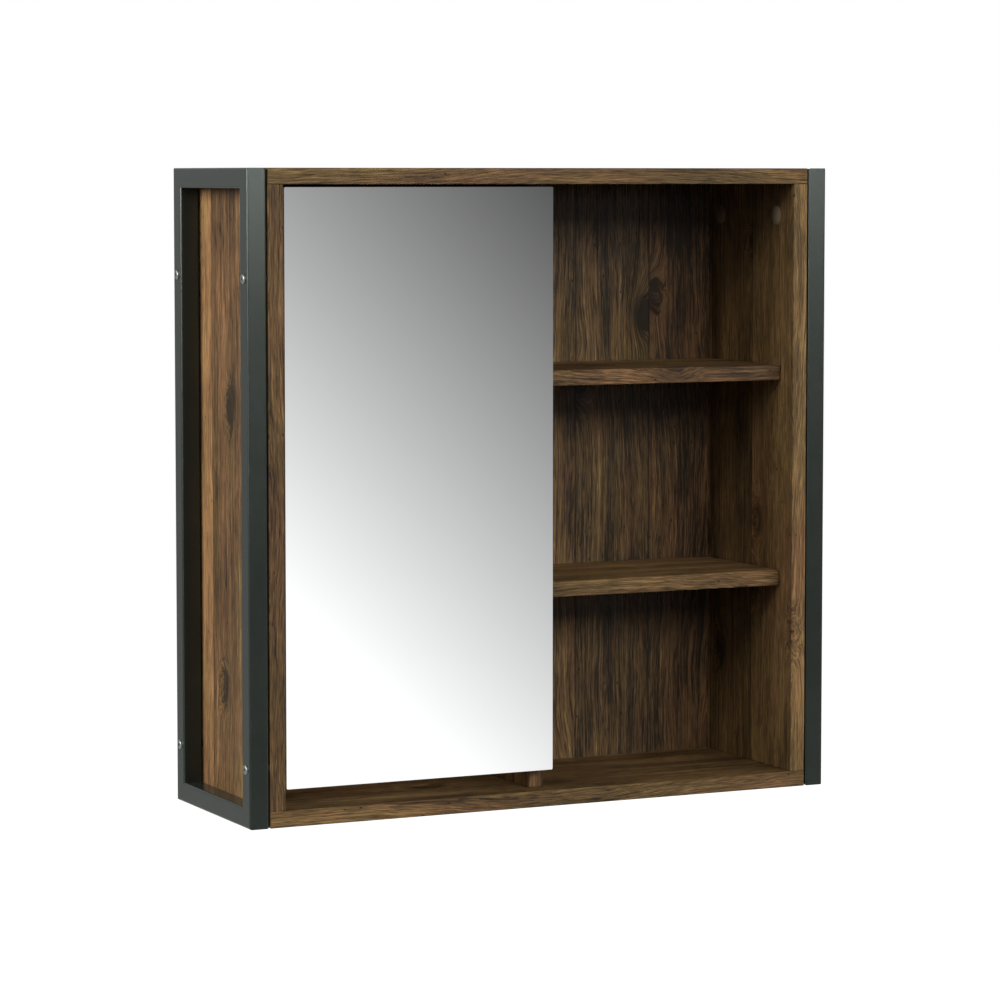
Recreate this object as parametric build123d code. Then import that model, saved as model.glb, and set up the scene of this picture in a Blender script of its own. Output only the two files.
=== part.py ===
from build123d import *
import math
import os

# A wall cabinet for a bathroom: a board carcass between two welded steel side frames, with a frameless
# mirror door over its left bay and open shelves in its right bay.
# Millimetres. X runs left to right, Y from front to wall, Z up. The wall plane is Y = 0 and the origin
# lies midway between the two hanging holes.

# --- overall size ---
overall_width = 640
overall_height = 640
overall_depth = 200
hanger_drop = 46                # hanging holes below the top face

# --- steel side frames ---
tube = 20
tube_wall = 1.5
tube_edge_radius = 2
spacer_thickness = 1.5
spacer_radius = 7
frame_bolt_from_top = 106.5
frame_bolt_from_bottom = 58
bolt_radius = 2.5
bolt_length = 30
bolt_head_radius = 4.75
bolt_head_height = 1.8
bolt_socket_flats = 3
bolt_socket_depth = 1.2
bolt_hole_clearance = 0.25
insert_radius = 4
insert_length = 12

# --- boards ---
board = 16
edge_ease = 0.6
back_board = 3
back_inset = 17                 # free depth behind the back panel
groove_depth = 5.5
groove_side_clearance = 0.1
groove_end_clearance = 0.5
divider_x = 0
door_clearance = 1              # between the closed door and the divider
rail_height = 60
rail_thickness = 15

# --- shelves ---
upper_shelf_height = 421.5      # undersides above the cabinet's bottom face
lower_shelf_height = 208
shelf_end_gap = 1.3
shelf_rear_gap = 1
door_bay_shelf_gap = 10         # between the closed door and the shelves behind it
pin_radius = 2.5
pin_in_board = 8
pin_outside = 9
pin_slot_gap = 0.1              # between a pin and the slot in the shelf's underside
pin_from_shelf_edge = 32

# --- board joints ---
fit = 0.05                      # radial clearance of a pressed or screwed fit
cam_radius = 7.5
cam_depth = 12.5
cam_from_end = 32.5
cam_bore_clearance = 0.5
cam_edge_distance = 37          # cams from the front and rear faces
cam_slot_width = 7.6
cam_bolt_radius = 2.5
cam_bolt_head_radius = 3.5
cam_bolt_head_length = 4
cam_bolt_depth = 11
cap_radius = 10
cap_rise = 2.6
cap_rim = 0.5                   # height of the domed cap's straight rim
dowel_radius = 4
dowel_length = 30
dowel_in_panel = 11
dowel_from_cam = 32
confirmat_radius = 3.5
confirmat_head_radius = 5
confirmat_head_length = 5
confirmat_length = 50
confirmat_head_recess = 0.6
confirmat_socket_flats = 4
confirmat_socket_depth = 3

# --- mirror door ---
mirror_width = 290
mirror_thickness = 4
mirror_setback = 3              # mirror face behind the front plane
mirror_corner_radius = 2
mirror_polish = 0.7
mirror_side_gap = 1.5
mirror_top_gap = 2
finger_gap = 20
mirror_overhang = 1             # mirror past the door board all round
tape_thickness = 0.5
tape_inset = 12
bumper_radius = 4
bumper_height = 0.8
bumper_from_door_end = 30

# --- concealed hinges ---
hinge_from_door_end = 84
cup_radius = 17.5
cup_wall = 0.8
cup_depth = 12
cup_from_board_edge = 4
flange_radius = 19
flange_thickness = 1.2
flange_ear_radius = 6
cup_screw_offset = 24
cup_screw_radius = 1.75
cup_screw_head_radius = 3.5
cup_screw_length = 13
screw_slot_width = 0.9
link_pivot_past_cup = 6.5       # fixed link pivot beyond the cup's rim
link_pivot_back = 2.6           # and behind the door board's back
link_reach_past_cup = 2.6       # link length beyond the cup's width
link_angle = 193.5              # from the pivot to the free end, door shut
link_bend_share = 0.213
link_bend_angle = 14
link_half_thickness = 1.3
link_half_height = 4.5
link_eye_radius = 2
link_pin_radius = 1.1
link_notch_gap = 1              # flange cut away on each side of the link
arm_ear_thickness = 1.2
arm_gap = 0.4                   # between link and ears
arm_plate = 1.5
arm_lift = 16                   # arm's underside from the side panel
arm_length = 62
plate_thickness = 2
plate_length = 50
plate_height = 46
plate_from_door = 58.5          # middle of the mounting plate behind the door board
plate_block_height = 13
plate_screw_offset = 16
plate_screw_radius = 2.5
plate_screw_length = 11

# --- wall hangers ---
hanger_spacing = 440
hanger_plate_width = 64
hanger_plate_height = 44
hanger_plate_thickness = 2
keyhole_radius = 5
keyhole_slot_width = 5
keyhole_slot_rise = 12
keyhole_pocket_depth = 9
hanger_screw_offset = 24
hanger_screw_radius = 2
hanger_screw_head_radius = 4
hanger_screw_head_length = 1.6
hanger_screw_length = 13

# --- worked out from the above ---
top = hanger_drop
bottom = top - overall_height
front = -overall_depth
carcass_half = overall_width / 2 - tube - spacer_thickness
inner_half = carcass_half - board
inner_top = top - board
inner_bottom = bottom + board
back_front_face = -back_inset - back_board
divider_left = divider_x - board / 2
divider_right = divider_x + board / 2
upper_shelf_z = bottom + upper_shelf_height
lower_shelf_z = bottom + lower_shelf_height
mirror_left = -inner_half + mirror_side_gap
mirror_right = mirror_left + mirror_width
mirror_top = inner_top - mirror_top_gap
mirror_bottom = inner_bottom + finger_gap
mirror_face = front + mirror_setback
glass_back = mirror_face + mirror_thickness
door_board_front = glass_back + tape_thickness
door_board_back = door_board_front + board
door_board_left = mirror_left + mirror_overhang
divider_front = door_board_back + door_clearance
cup_x = door_board_left + cup_from_board_edge + cup_radius
hinge_heights = {
    "lower": mirror_bottom + hinge_from_door_end,
    "upper": mirror_top - hinge_from_door_end,
}
link_pivot = Vector(cup_x + cup_radius + link_pivot_past_cup, door_board_back + link_pivot_back)
link_length = 2 * cup_radius + link_reach_past_cup
cam_y = (front + cam_edge_distance, -cam_edge_distance - board / 2)
dowel_y = (cam_y[0] + dowel_from_cam, cam_y[1] - dowel_from_cam)
sides = {"left": -1, "right": 1}


# --- shapes used by several pieces ---

def block(x_limits, y_limits, z_limits):
    """A box between pairs of limits, given in either order."""
    limits = (x_limits, y_limits, z_limits)
    size = [abs(high - low) for low, high in limits]
    middle = [(low + high) / 2 for low, high in limits]
    return Pos(*middle) * Box(*size)


def rod(radius, start, direction, length):
    """A round bar that starts at a point and runs along a direction."""
    bar = Cylinder(radius, length, align=(Align.CENTER, Align.CENTER, Align.MIN))
    return Plane(origin=start, z_dir=direction) * bar


def tube_bar(outer, inner, start, direction, length):
    """A round tube that starts at a point and runs along a direction."""
    return rod(outer, start, direction, length) - rod(inner, start, direction, length)


def hex_socket(flats, start, direction, depth):
    """The hexagonal hole of a socket key, running inwards from a point."""
    outline = extrude(RegularPolygon(flats / 2, 6, major_radius=False), depth)
    return Plane(origin=start, z_dir=direction) * outline


def cone_head(head_radius, shank_radius, start, direction, length):
    """A countersunk head: widest at its start."""
    head = Cone(head_radius, shank_radius, length, align=(Align.CENTER, Align.CENTER, Align.MIN))
    return Plane(origin=start, z_dir=direction) * head


def plank(x_limits, y_limits, z_limits):
    """A board with slightly eased edges."""
    solid = block(x_limits, y_limits, z_limits)
    return chamfer(solid.edges(), edge_ease)


def back_groove(x_limits, z_limits):
    """The space that the back panel's edge slides into."""
    low = back_front_face - groove_side_clearance
    high = back_front_face + back_board + groove_side_clearance
    return block(x_limits, (low, high), z_limits)


def joined(solids):
    """Several separate solids kept together in one sub-part."""
    return Compound(children=list(solids))


# --- places that several pieces share ---

def frame_bolt_points():
    """(y, z) of the four bolts that hold each steel frame."""
    heights = (bottom + frame_bolt_from_bottom, top - frame_bolt_from_top)
    return [(y, z) for z in heights for y in (front + tube / 2, -tube / 2)]


def upright_joints():
    """(x of the upright's middle, direction of the face that takes its cams) for each upright."""
    side_x = carcass_half - board / 2
    return {"left": (-side_x, 1), "divider": (divider_x, -1), "right": (side_x, -1)}


def cam_centre(x, facing, y):
    """The cam's centre on the face that it is let into."""
    return Vector(x + facing * board / 2, y, inner_top - cam_from_end)


def shelf_bays():
    """Limits in X and the front edge of the two bays' shelves."""
    return {
        "open_bay": (divider_right, inner_half, divider_front),
        "door_bay": (-inner_half, divider_left, door_board_back + door_bay_shelf_gap),
    }


def shelf_levels():
    return {"lower": lower_shelf_z, "upper": upper_shelf_z}


def shelf_pin_points(shelf_front, shelf_z):
    """(y, z) of a shelf's pins at each of its ends."""
    z = shelf_z + pin_radius
    shelf_rear = back_front_face - shelf_rear_gap
    return [(shelf_front + pin_from_shelf_edge, z), (shelf_rear - pin_from_shelf_edge, z)]


def hanger_x():
    return [side * hanger_spacing / 2 for side in sides.values()]


# --- steel side frames ---

def steel_frame(side):
    """One welded frame of square tube, hollow, drilled right through for its bolts."""
    outer_x, inner_x = side * overall_width / 2, side * (overall_width / 2 - tube)
    solid = block((inner_x, outer_x), (front, 0), (bottom, top))
    window = ((front + tube, -tube), (bottom + tube, top - tube))
    solid -= block((inner_x, outer_x), *window)
    long_edges = solid.edges().filter_by(Axis.Y) + solid.edges().filter_by(Axis.Z)
    solid = fillet(long_edges, tube_edge_radius)

    low, high = tube_wall, tube - tube_wall
    hollow_x = (outer_x - side * low, outer_x - side * high)
    hollow = block(hollow_x, (front + low, -low), (bottom + low, top - low))
    hollow -= block(hollow_x, (front + high, -high), (bottom + high, top - high))
    solid -= hollow
    for y, z in frame_bolt_points():
        start = (outer_x, y, z)
        solid -= rod(bolt_radius + bolt_hole_clearance, start, (-side, 0, 0), tube)
    return solid


def frame_bolt(side, y, z):
    """A button-head bolt from the frame's outer face into the side panel."""
    face_x = side * overall_width / 2
    head = rod(bolt_head_radius, (face_x, y, z), (side, 0, 0), bolt_head_height)
    rim = head.edges().sort_by(Axis.X)[-1 if side > 0 else 0]
    head = fillet(rim, bolt_head_height * 0.7)
    crown = (face_x + side * bolt_head_height, y, z)
    head -= hex_socket(bolt_socket_flats, crown, (-side, 0, 0), bolt_socket_depth)
    return head + rod(bolt_radius, (face_x, y, z), (-side, 0, 0), bolt_length)


def frame_spacers(side):
    """Washers that keep the frame a little off the side panel."""
    start_x = side * carcass_half
    hole = bolt_radius + bolt_hole_clearance
    return joined(
        tube_bar(spacer_radius, hole, (start_x, y, z), (side, 0, 0), spacer_thickness)
        for y, z in frame_bolt_points()
    )


def frame_inserts(side):
    """Threaded inserts let into the side panel from its outer face."""
    start_x = side * carcass_half
    return joined(
        tube_bar(insert_radius, bolt_radius + fit, (start_x, y, z), (-side, 0, 0), insert_length)
        for y, z in frame_bolt_points()
    )


# --- holes in the boards ---

def cam_holes(x, facing):
    """In an upright: the cams' pockets and the bores that reach them from the top end."""
    cut = []
    bore_radius = cam_bolt_head_radius + cam_bore_clearance
    for y in cam_y:
        centre = cam_centre(x, facing, y)
        cut.append(rod(cam_radius + fit, centre, (-facing, 0, 0), cam_depth + 0.5))
        reach = cam_from_end + cam_bolt_head_length / 2 + cam_bore_clearance
        cut.append(rod(bore_radius, (x, y, inner_top), (0, 0, -1), reach))
    return cut


def end_dowel_holes(x, z, direction):
    """Dowel holes in an upright's end, running along the direction from the end's height."""
    depth = dowel_length - dowel_in_panel + fit
    return [rod(dowel_radius + fit, (x, y, z), (0, 0, direction), depth) for y in dowel_y]


def confirmat_pilots(x):
    """The holes in an upright's lower end for its two screws."""
    depth = confirmat_length - board + 1
    return [rod(confirmat_radius + fit, (x, y, inner_bottom), (0, 0, 1), depth) for y in cam_y]


def pin_holes(face_x, direction, bay):
    """Shelf pin holes in an upright's face, for one bay's two shelves."""
    shelf_front = shelf_bays()[bay][2]
    cut = []
    for shelf_z in shelf_levels().values():
        for y, z in shelf_pin_points(shelf_front, shelf_z):
            start = (face_x, y, z)
            cut.append(rod(pin_radius + fit, start, (direction, 0, 0), pin_in_board + 0.5))
    return cut


def upright_end_cuts(x, facing):
    """Everything that an upright's two ends are drilled for."""
    cut = cam_holes(x, facing) + confirmat_pilots(x)
    return cut + end_dowel_holes(x, inner_top, -1) + end_dowel_holes(x, inner_bottom, 1)


# --- boards ---

def side_panel(name):
    """An upright between the top and bottom panels, behind one steel frame."""
    side = sides[name]
    x, facing = upright_joints()[name]
    inner_x = side * inner_half
    solid = plank((inner_x, side * carcass_half), (front, 0), (inner_bottom, inner_top))
    cut = upright_end_cuts(x, facing)
    cut.append(back_groove((inner_x, inner_x + side * groove_depth), (inner_bottom, inner_top)))
    for y, z in frame_bolt_points():
        start = (side * carcass_half, y, z)
        cut.append(rod(insert_radius + fit, start, (-side, 0, 0), insert_length + 0.5))
    cut += pin_holes(inner_x, side, "door_bay" if side < 0 else "open_bay")
    if side < 0:
        cut += plate_screw_holes()
    return solid - cut


def centre_divider():
    x, facing = upright_joints()["divider"]
    y_limits = (divider_front, back_front_face)
    solid = plank((divider_left, divider_right), y_limits, (inner_bottom, inner_top))
    cut = upright_end_cuts(x, facing)
    cut += pin_holes(divider_left, 1, "door_bay")
    cut += pin_holes(divider_right, -1, "open_bay")
    return solid - cut


def top_panel():
    solid = plank((-carcass_half, carcass_half), (front, 0), (inner_top, top))
    groove_x = (-inner_half - groove_depth, inner_half + groove_depth)
    cut = [back_groove(groove_x, (inner_top, inner_top + groove_depth))]
    for x, facing in upright_joints().values():
        for y in cam_y:
            start = (x, y, inner_top)
            cut.append(rod(cam_bolt_radius + fit, start, (0, 0, 1), cam_bolt_depth + fit))
        for y in dowel_y:
            start = (x, y, inner_top)
            cut.append(rod(dowel_radius + fit, start, (0, 0, 1), dowel_in_panel + fit))
    return solid - cut


def bottom_panel():
    solid = plank((-carcass_half, carcass_half), (front, 0), (bottom, inner_bottom))
    groove_x = (-inner_half - groove_depth, inner_half + groove_depth)
    cut = [back_groove(groove_x, (inner_bottom - groove_depth, inner_bottom))]
    for x, facing in upright_joints().values():
        for y in cam_y:
            cut.append(rod(confirmat_radius + fit, (x, y, bottom), (0, 0, 1), board))
            head_hole = confirmat_head_radius + fit
            cut.append(rod(head_hole, (x, y, bottom), (0, 0, 1), confirmat_head_length))
        for y in dowel_y:
            start = (x, y, inner_bottom)
            cut.append(rod(dowel_radius + fit, start, (0, 0, -1), dowel_in_panel + fit))
    return solid - cut


def back_panel():
    """A thin sheet held in grooves on all four sides."""
    reach = groove_depth - groove_end_clearance
    x_limits = (-inner_half - reach, inner_half + reach)
    y_limits = (back_front_face, back_front_face + back_board)
    return block(x_limits, y_limits, (inner_bottom - reach, inner_top + reach))


def hanging_rail():
    """A strip behind the back panel's top edge, pocketed behind each keyhole."""
    y_limits = (-back_inset, rail_thickness - back_inset)
    solid = block((-inner_half, inner_half), y_limits, (inner_top - rail_height, inner_top))
    half_width = keyhole_radius + 2
    for x in hanger_x():
        z_limits = (-half_width, keyhole_slot_rise + half_width)
        y_pocket = (y_limits[1] - keyhole_pocket_depth, y_limits[1])
        solid -= block((x - half_width, x + half_width), y_pocket, z_limits)
        for screw_x in (x - hanger_screw_offset, x + hanger_screw_offset):
            start = (screw_x, y_limits[1], 0)
            solid -= rod(hanger_screw_radius + fit, start, (0, -1, 0), hanger_screw_length)
    return solid


def shelf(bay, shelf_z):
    """A loose shelf, slotted from below so that it drops over its pins and hides them."""
    left, right, shelf_front = shelf_bays()[bay]
    x_limits = (left + shelf_end_gap, right - shelf_end_gap)
    y_limits = (shelf_front, back_front_face - shelf_rear_gap)
    solid = plank(x_limits, y_limits, (shelf_z, shelf_z + board))
    half_slot = pin_radius + pin_slot_gap
    for face_x, inwards in ((left, 1), (right, -1)):
        slot_x = (face_x, face_x + inwards * (pin_outside + pin_slot_gap))
        for y, z in shelf_pin_points(shelf_front, shelf_z):
            slot_length = pin_outside + pin_slot_gap
            solid -= rod(half_slot, (face_x, y, z), (inwards, 0, 0), slot_length)
            solid -= block(slot_x, (y - half_slot, y + half_slot), (shelf_z, z))
    return solid


def shelf_pins(bay, shelf_z):
    """Four plain pins, two at each end of a shelf."""
    left, right, shelf_front = shelf_bays()[bay]
    pins = []
    for face_x, inwards in ((left, 1), (right, -1)):
        for y, z in shelf_pin_points(shelf_front, shelf_z):
            start = (face_x - inwards * pin_in_board, y, z)
            pins.append(rod(pin_radius, start, (inwards, 0, 0), pin_in_board + pin_outside))
    return joined(pins)


# --- fittings in the board joints ---

def cam_lock(x, facing, y):
    """A round cam with the slot that draws the bolt's head down."""
    centre = cam_centre(x, facing, y)
    solid = rod(cam_radius, centre, (-facing, 0, 0), cam_depth)
    inwards = (x - 1.2 * cam_slot_width / 2, x + 1.2 * cam_slot_width / 2)
    y_limits = (y - cam_slot_width / 2, y + cam_slot_width / 2)
    return solid - block(inwards, y_limits, (centre.Z - cam_slot_width / 2, inner_top))


def cam_bolt(x, y):
    """A bolt that screws up into the top panel and hangs down into its cam."""
    head_bottom = inner_top - cam_from_end - cam_bolt_head_length / 2
    start = (x, y, head_bottom)
    solid = rod(cam_bolt_head_radius, start, (0, 0, 1), cam_bolt_head_length)
    return solid + rod(cam_bolt_radius, start, (0, 0, 1), inner_top + cam_bolt_depth - head_bottom)


def cam_cap(x, facing, y):
    """A low dome that covers a cam."""
    centre = cam_centre(x, facing, y)
    dome_height = cap_rise - cap_rim
    dome_radius = (cap_radius ** 2 + dome_height ** 2) / (2 * dome_height)
    middle = centre + Vector(facing * (cap_rise - dome_radius), 0, 0)
    ball = Plane(origin=middle, x_dir=(0, 1, 0), z_dir=(0, 0, 1)) * Sphere(dome_radius)
    return rod(cap_radius, centre, (facing, 0, 0), cap_rise) & ball


def wood_dowels():
    """Plain dowels that line up the uprights with the top and bottom panels."""
    dowels = []
    for x, facing in upright_joints().values():
        for y in dowel_y:
            from_top = inner_top - dowel_length + dowel_in_panel
            from_bottom = inner_bottom - dowel_in_panel
            dowels.append(rod(dowel_radius, (x, y, from_top), (0, 0, 1), dowel_length))
            dowels.append(rod(dowel_radius, (x, y, from_bottom), (0, 0, 1), dowel_length))
    return joined(dowels)


def confirmat_screws():
    """Stepped screws driven up through the bottom panel into each upright."""
    screws = []
    head_start = bottom + confirmat_head_recess
    for x, facing in upright_joints().values():
        for y in cam_y:
            start = (x, y, head_start)
            head_length = confirmat_head_length - confirmat_head_recess
            solid = rod(confirmat_head_radius, start, (0, 0, 1), head_length)
            solid += rod(confirmat_radius, start, (0, 0, 1), confirmat_length - confirmat_head_recess)
            solid -= hex_socket(confirmat_socket_flats, start, (0, 0, 1), confirmat_socket_depth)
            screws.append(solid)
    return joined(screws)


# --- mirror door ---

def mirror_glass():
    """The frameless mirror: slightly rounded corners and a polished front edge."""
    solid = block((mirror_left, mirror_right), (mirror_face, glass_back), (mirror_bottom, mirror_top))
    solid = fillet(solid.edges().filter_by(Axis.Y), mirror_corner_radius)
    return chamfer(solid.faces().sort_by(Axis.Y)[0].edges(), mirror_polish)


def mirror_tape():
    """The adhesive sheet between mirror and door board."""
    x_limits = (mirror_left + tape_inset, mirror_right - tape_inset)
    z_limits = (mirror_bottom + tape_inset, mirror_top - tape_inset)
    return block(x_limits, (glass_back, door_board_front), z_limits)


def door_panel():
    x_limits = (door_board_left, mirror_right - mirror_overhang)
    z_limits = (mirror_bottom + mirror_overhang, mirror_top - mirror_overhang)
    solid = plank(x_limits, (door_board_front, door_board_back), z_limits)
    for z in hinge_heights.values():
        solid -= rod(cup_radius + fit, (cup_x, door_board_back, z), (0, -1, 0), cup_depth + 0.3)
        for offset in (-cup_screw_offset, cup_screw_offset):
            start = (cup_x, door_board_back, z + offset)
            solid -= rod(cup_screw_radius + fit, start, (0, -1, 0), cup_screw_length)
    return solid


def door_bumper(z):
    """A small stop on the divider's front edge, behind the door's free side."""
    start = (divider_x, divider_front, z)
    solid = rod(bumper_radius, start, (0, -1, 0), bumper_height)
    return fillet(solid.edges().sort_by(Axis.Y)[0], bumper_height * 0.8)


# --- concealed hinges ---

def cup_outline(thickness):
    """The flange's outline: a disc with an ear above and below, thickened towards the wall."""
    outline = Circle(flange_radius)
    outline += Rectangle(2 * flange_ear_radius, 2 * cup_screw_offset)
    for offset in (-cup_screw_offset, cup_screw_offset):
        outline += Pos(0, offset) * Circle(flange_ear_radius)
    return Plane(origin=(0, 0, 0), x_dir=(1, 0, 0), z_dir=(0, -1, 0)) * extrude(outline, -thickness)


def hinge_cup(z):
    """The round cup let into the door board, with the flange that its screws hold."""
    mouth = (cup_x, door_board_back, z)
    solid = Pos(*mouth) * cup_outline(flange_thickness)
    notch = link_half_height + link_notch_gap
    notch_x = (cup_x - flange_radius, cup_x + flange_radius)
    notch_y = (door_board_back, door_board_back + flange_thickness)
    solid -= block(notch_x, notch_y, (z - notch, z + notch))
    solid += rod(cup_radius, mouth, (0, -1, 0), cup_depth)
    hollow_start = (cup_x, door_board_back + flange_thickness, z)
    hollow_depth = cup_depth + flange_thickness - cup_wall
    solid -= rod(cup_radius - cup_wall, hollow_start, (0, -1, 0), hollow_depth)
    for offset in (-cup_screw_offset, cup_screw_offset):
        start = (cup_x, door_board_back + flange_thickness, z + offset)
        solid -= cone_head(
            cup_screw_head_radius + fit, cup_screw_radius + fit, start, (0, -1, 0), flange_thickness
        )
    return solid


def hinge_cup_screws(z):
    screws = []
    for offset in (-cup_screw_offset, cup_screw_offset):
        start = (cup_x, door_board_back + flange_thickness, z + offset)
        solid = cone_head(cup_screw_head_radius, cup_screw_radius, start, (0, -1, 0), flange_thickness)
        solid += rod(cup_screw_radius, start, (0, -1, 0), cup_screw_length)
        screws.append(solid - screw_cross(start, (0, -1, 0), cup_screw_head_radius))
    return joined(screws)


def screw_cross(start, direction, head_radius):
    """The cross-shaped recess of a screw head."""
    reach = 1.2 * head_radius
    cross = Rectangle(reach, screw_slot_width) + Rectangle(screw_slot_width, reach)
    return Plane(origin=start, z_dir=direction) * extrude(cross, head_radius / 4)


def link_leg(start, angle, length, height):
    """One straight leg of a link, round at both ends, seen from above."""
    outline = SlotCenterToCenter(length, 2 * link_half_thickness)
    middle = start + Vector(length / 2, 0).rotate(Axis.Z, angle)
    leg = extrude(outline, link_half_height, both=True)
    return Pos(middle.X, middle.Y, height) * Rot(0, 0, angle) * leg


def hinge_link(z):
    """The cranked link that carries the cup: an eye on the arm's pin and a free end in the cup."""
    first_length = link_bend_share * link_length
    first_angle = link_angle - link_bend_angle
    bend = link_pivot + Vector(first_length, 0).rotate(Axis.Z, first_angle)
    tip = link_pivot + Vector(link_length, 0).rotate(Axis.Z, link_angle)
    second = tip - bend
    second_angle = math.degrees(math.atan2(second.Y, second.X))
    solid = link_leg(link_pivot, first_angle, first_length, z)
    solid += link_leg(bend, second_angle, second.length, z)
    base = (link_pivot.X, link_pivot.Y, z - link_half_height)
    solid += rod(link_eye_radius, base, (0, 0, 1), 2 * link_half_height)
    return solid - rod(link_pin_radius + fit, base, (0, 0, 1), 2 * link_half_height)


def hinge_arm(z):
    """The fixed arm: a folded channel from the mounting plate, with two ears and the link's pin."""
    ear_inner = link_half_height + arm_gap
    ear_outer = ear_inner + arm_ear_thickness
    arm_x = -inner_half + arm_lift
    back_y = link_pivot.Y + arm_length
    nose_y = link_pivot.Y + 2 * link_eye_radius
    web_x = arm_x + 2 * link_eye_radius
    outline = Polyline(
        (link_pivot.X, link_pivot.Y - link_eye_radius),
        (link_pivot.X + link_eye_radius, link_pivot.Y),
        (web_x + 2 * link_eye_radius, back_y - arm_length / 3),
        (web_x, back_y),
        (arm_x, back_y),
        (arm_x, back_y - arm_length / 2),
        (link_pivot.X - link_eye_radius, link_pivot.Y),
        close=True,
    )
    ear = extrude(make_face(outline), arm_ear_thickness)
    ears = Pos(0, 0, z + ear_inner) * ear + Pos(0, 0, z - ear_outer) * ear
    web_y = (back_y - arm_length / 2, back_y)
    web = block((arm_x, arm_x + arm_plate), web_y, (z - ear_inner, z + ear_inner))
    pin_start = (link_pivot.X, nose_y - 2 * link_eye_radius, z - ear_outer)
    return ears + web + rod(link_pin_radius, pin_start, (0, 0, 1), 2 * ear_outer)


def plate_screw_points():
    """(y, z) of the screws of both mounting plates."""
    y = door_board_back + plate_from_door
    offsets = (-plate_screw_offset, plate_screw_offset)
    return [(y, z + offset) for z in hinge_heights.values() for offset in offsets]


def plate_screw_holes():
    return [
        rod(plate_screw_radius + fit, (-inner_half, y, z), (-1, 0, 0), plate_screw_length)
        for y, z in plate_screw_points()
    ]


def hinge_plate(z):
    """The mounting plate on the side panel, with the block that the arm clips over."""
    y = door_board_back + plate_from_door
    x_limits = (-inner_half, -inner_half + plate_thickness)
    z_limits = (z - plate_height / 2, z + plate_height / 2)
    solid = block(x_limits, (y - plate_length / 4, y + plate_length / 4), z_limits)
    solid = fillet(solid.edges().filter_by(Axis.X), 4)
    half = link_half_height
    block_x = (-inner_half, -inner_half + arm_lift)
    solid += block(block_x, (y - plate_length / 2, y + plate_length / 2 - half), (z - half, z + half))
    for offset in (-plate_screw_offset, plate_screw_offset):
        start = (-inner_half + plate_thickness, y, z + offset)
        solid -= rod(plate_screw_radius + fit, start, (-1, 0, 0), plate_thickness)
    return solid


def hinge_plate_screws():
    """Pan-head screws of the mounting plates."""
    screws = []
    start_x = -inner_half + plate_thickness
    for y, z in plate_screw_points():
        head_radius = 1.7 * plate_screw_radius
        head = rod(head_radius, (start_x, y, z), (1, 0, 0), plate_screw_radius)
        head = fillet(head.edges().sort_by(Axis.X)[-1], 0.6 * plate_screw_radius)
        crown = (start_x + plate_screw_radius, y, z)
        head -= screw_cross(crown, (-1, 0, 0), head_radius)
        screws.append(head + rod(plate_screw_radius, (start_x, y, z), (-1, 0, 0), plate_screw_length))
    return joined(screws)


# --- wall hangers ---

def hanger_plate(x):
    """A flat plate with a keyhole: a round entry and a slot above it."""
    y_limits = (-hanger_plate_thickness, 0)
    half = (hanger_plate_width / 2, hanger_plate_height / 2)
    solid = block((x - half[0], x + half[0]), y_limits, (-half[1], half[1]))
    solid = fillet(solid.edges().filter_by(Axis.Y), 4)
    solid -= rod(keyhole_radius, (x, 0, 0), (0, -1, 0), hanger_plate_thickness)
    slot_x = (x - keyhole_slot_width / 2, x + keyhole_slot_width / 2)
    solid -= block(slot_x, y_limits, (0, keyhole_slot_rise))
    slot_end = (x, 0, keyhole_slot_rise)
    solid -= rod(keyhole_slot_width / 2, slot_end, (0, -1, 0), hanger_plate_thickness)
    for screw_x in (x - hanger_screw_offset, x + hanger_screw_offset):
        start = (screw_x, 0, 0)
        solid -= cone_head(
            hanger_screw_head_radius + fit, hanger_screw_radius + fit, start, (0, -1, 0),
            hanger_plate_thickness,
        )
    return solid


def hanger_screws():
    screws = []
    for x in hanger_x():
        for screw_x in (x - hanger_screw_offset, x + hanger_screw_offset):
            start = (screw_x, 0, 0)
            head_radius = hanger_screw_head_radius
            solid = cone_head(head_radius, hanger_screw_radius, start, (0, -1, 0), hanger_plate_thickness)
            solid += rod(hanger_screw_radius, start, (0, -1, 0), hanger_screw_length)
            screws.append(solid - screw_cross(start, (0, -1, 0), head_radius))
    return joined(screws)


# --- every sub-part by name ---

def frame_parts():
    parts = {}
    for name, side in sides.items():
        parts[f"{name}_steel_frame"] = steel_frame(side)
        parts[f"{name}_frame_spacers"] = frame_spacers(side)
        parts[f"{name}_frame_inserts"] = frame_inserts(side)
        corners = ("lower_front", "lower_rear", "upper_front", "upper_rear")
        for corner, (y, z) in zip(corners, frame_bolt_points()):
            parts[f"{name}_frame_bolt_{corner}"] = frame_bolt(side, y, z)
    return parts


def board_parts():
    parts = {f"{name}_side_panel": side_panel(name) for name in sides}
    parts["centre_divider"] = centre_divider()
    parts["top_panel"] = top_panel()
    parts["bottom_panel"] = bottom_panel()
    parts["back_panel"] = back_panel()
    parts["hanging_rail"] = hanging_rail()
    for bay in shelf_bays():
        for level, shelf_z in shelf_levels().items():
            parts[f"{bay}_{level}_shelf"] = shelf(bay, shelf_z)
            parts[f"{bay}_{level}_shelf_pins"] = shelf_pins(bay, shelf_z)
    return parts


def joint_parts():
    places = [(name, *upright, row, y) for name, upright in upright_joints().items()
              for row, y in zip(("front", "rear"), cam_y)]
    parts = {f"{name}_cam_cap_{row}": cam_cap(x, facing, y) for name, x, facing, row, y in places}
    parts["cam_locks"] = joined(cam_lock(x, facing, y) for name, x, facing, row, y in places)
    parts["cam_bolts"] = joined(cam_bolt(x, y) for name, x, facing, row, y in places)
    parts["wood_dowels"] = wood_dowels()
    parts["confirmat_screws"] = confirmat_screws()
    return parts


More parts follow.
